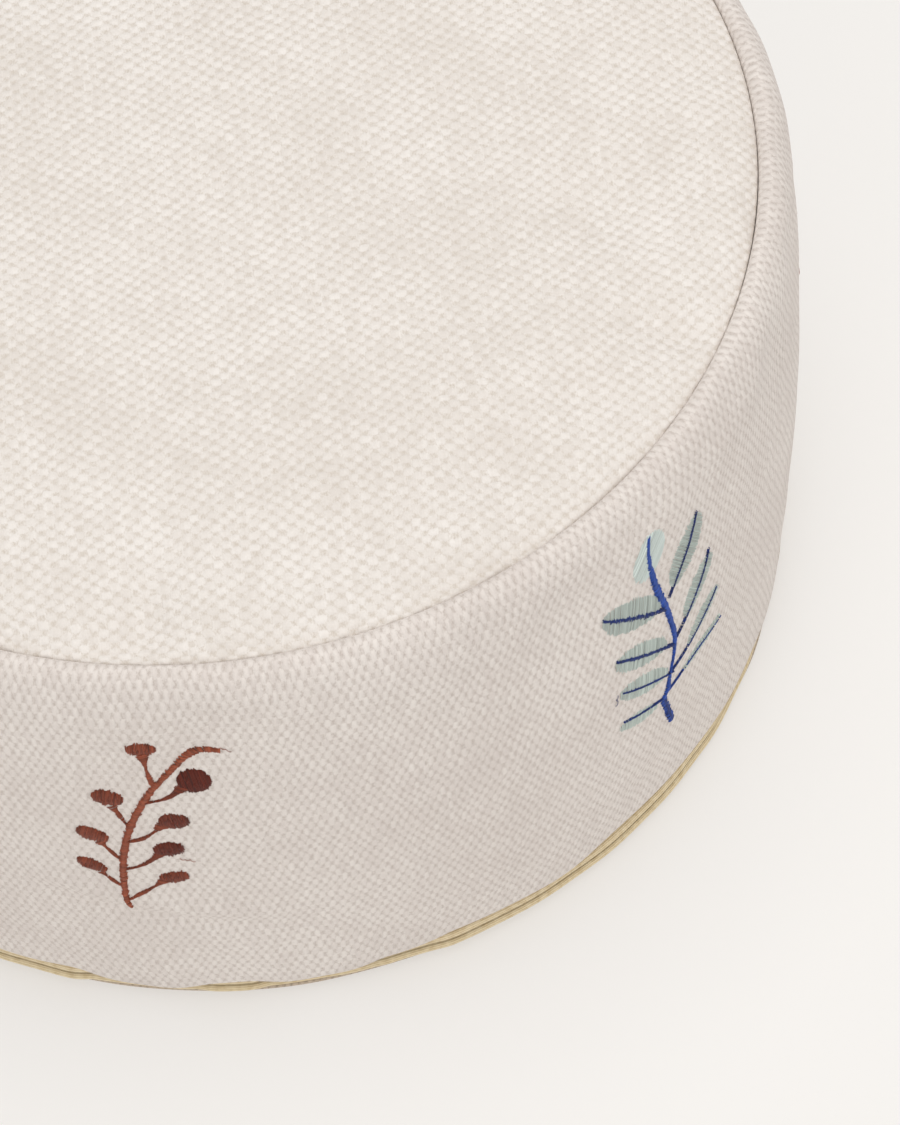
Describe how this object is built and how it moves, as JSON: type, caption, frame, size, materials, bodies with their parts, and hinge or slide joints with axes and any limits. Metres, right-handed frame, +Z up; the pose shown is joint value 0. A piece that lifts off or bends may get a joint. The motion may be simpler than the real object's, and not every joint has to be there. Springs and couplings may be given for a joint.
{
  "type": "round floor pouf",
  "caption": "Round floor pouf: woven cotton cover with an embroidered side and a concealed zip around the base, over an inner cushion.",
  "frame": {"origin": "on the floor, under the middle of the pouf", "axes": "+Z up out of the seat, along the pouf's own axis; the side shown to the front, with a berry sprig beside its middle, faces -Y, and the band's join is at the back, near +Y"},
  "size_m": [0.5008, 0.5, 0.26],
  "materials": {
    "cover_cloth": "matte, coarse plain weave of thick slubbed ecru cotton",
    "base_cloth": "matte, close plain weave, taupe cotton",
    "sewing_thread": "matte twisted thread",
    "zip_tape": "matte woven tape, beige",
    "zip_coil": "satin nylon coil, beige",
    "zip_metal": "antique, satin, worn bright on the edges",
    "berry_thread": "satin stitch in stranded cotton, rust brown",
    "leaf_thread": "satin stitch in stranded cotton, pale sage",
    "stem_thread": "stem stitch in stranded cotton, cobalt and navy",
    "lining": "thin plain calico",
    "fill": "loose fibre"
  },
  "bodies": {
    "pouf": {"top_panel": "cover_cloth", "side_band": "cover_cloth", "base_panel": "base_cloth", "top_seam_thread": "sewing_thread", "band_join_thread": "sewing_thread", "zipper_tape_upper": "zip_tape", "zipper_tape_lower": "zip_tape", "zipper_coil_upper": "zip_coil", "zipper_coil_lower": "zip_coil", "zipper_stop_start": "zip_metal", "zipper_stop_end": "zip_metal", "berry_sprig_1": "berry_thread", "berry_sprig_2": "berry_thread", "berry_sprig_3": "berry_thread", "fern_leaves_1": "leaf_thread", "fern_leaves_2": "leaf_thread", "fern_leaves_3": "leaf_thread", "fern_leaves_4": "leaf_thread", "fern_stem_1": "stem_thread", "fern_stem_2": "stem_thread", "fern_stem_3": "stem_thread", "fern_stem_4": "stem_thread", "liner_side": "lining", "liner_top": "lining", "liner_base": "lining", "filling": "fill"},
    "slider": {"zipper_slider": "zip_metal"},
    "pull": {"zipper_pull": "zip_metal"}
  },
  "joints": [
    {"name": "slider_travel", "type": "hinge", "parent": "pouf", "child": "slider", "pos_m": [0, 0, 0], "axis": [0, 0, 1], "range_deg": [0, 231]},
    {"name": "pull_swing", "type": "hinge", "parent": "slider", "child": "pull", "pos_m": [-0.2242, 0.10694, 0.0094], "axis": [0, 0, -1], "range_deg": [0, 170]}
  ]
}
